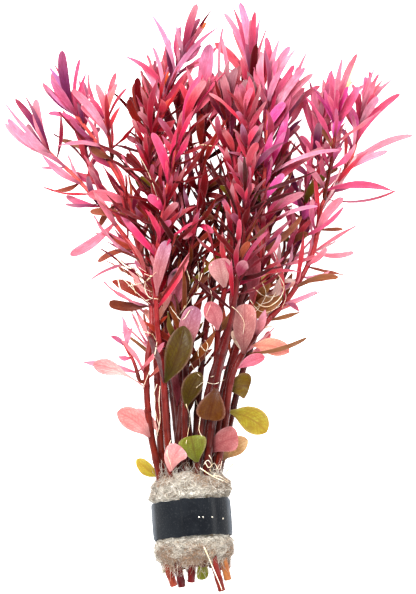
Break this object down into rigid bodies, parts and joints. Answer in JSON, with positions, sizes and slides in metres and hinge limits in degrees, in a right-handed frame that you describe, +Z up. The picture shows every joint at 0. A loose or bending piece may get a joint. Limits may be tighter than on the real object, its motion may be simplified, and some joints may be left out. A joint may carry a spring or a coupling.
{
  "type": "rotala stem plant bunch",
  "caption": "Bunch of narrow-leaved pink and red aquarium stem plants lying down, with rounder lower leaves, its foot wrapped in grey wool under a dark strip.",
  "frame": {"origin": "under the middle of the strip, on the surface that the bunch lies on", "axes": "+Z up, +Y from the cut ends towards the growing tips, +X to the right as the bunch is seen from above with its tips at the top"},
  "size_m": [0.1545, 0.2181, 0.0546],
  "materials": {
    "wool": "matted grey-white wool, stained brown in places",
    "strip": "dull slate-black strip, a little dusty",
    "red_stem": "smooth wet stem with thin leaves, brown-red low down and coral to pink towards the tips",
    "pink_leaf": "thin soft leaf, pink to salmon",
    "plum_leaf": "thin soft leaf, dusky plum",
    "olive_leaf": "thin soft leaf, olive to brown",
    "yellow_leaf": "thin soft leaf, yellow-green"
  },
  "bodies": {
    "root": {"wool_wrap": "wool", "band": "strip", "stem_01": "red_stem", "stem_02": "red_stem", "stem_03": "red_stem", "stem_04": "red_stem", "stem_05": "red_stem", "stem_06": "red_stem", "stem_07": "red_stem", "stem_08": "red_stem", "stem_09": "red_stem", "stem_10": "red_stem", "stem_11": "red_stem", "stem_12": "red_stem", "stem_13": "red_stem", "stem_14": "red_stem", "stem_15": "red_stem", "stem_16": "red_stem", "stem_17": "red_stem", "stem_18": "red_stem", "side_shoot_01": "red_stem", "side_shoot_02": "red_stem", "side_shoot_03": "red_stem", "broad_leaf_01": "pink_leaf", "broad_leaf_02": "pink_leaf", "broad_leaf_03": "pink_leaf", "broad_leaf_04": "plum_leaf", "broad_leaf_05": "pink_leaf", "broad_leaf_06": "pink_leaf", "broad_leaf_07": "olive_leaf", "broad_leaf_08": "plum_leaf", "broad_leaf_09": "olive_leaf", "broad_leaf_10": "olive_leaf", "broad_leaf_11": "pink_leaf", "broad_leaf_12": "pink_leaf", "broad_leaf_13": "pink_leaf", "broad_leaf_14": "olive_leaf", "broad_leaf_15": "olive_leaf", "broad_leaf_16": "yellow_leaf", "broad_leaf_17": "plum_leaf", "broad_leaf_18": "pink_leaf", "broad_leaf_19": "yellow_leaf", "broad_leaf_20": "pink_leaf", "broad_leaf_21": "pink_leaf", "broad_leaf_22": "pink_leaf", "broad_leaf_23": "yellow_leaf", "broad_leaf_24": "olive_leaf", "broad_leaf_25": "plum_leaf", "broad_leaf_26": "olive_leaf", "broad_leaf_27": "olive_leaf", "broad_leaf_28": "plum_leaf", "broad_leaf_29": "olive_leaf", "broad_leaf_30": "pink_leaf"}
  },
  "joints": []
}
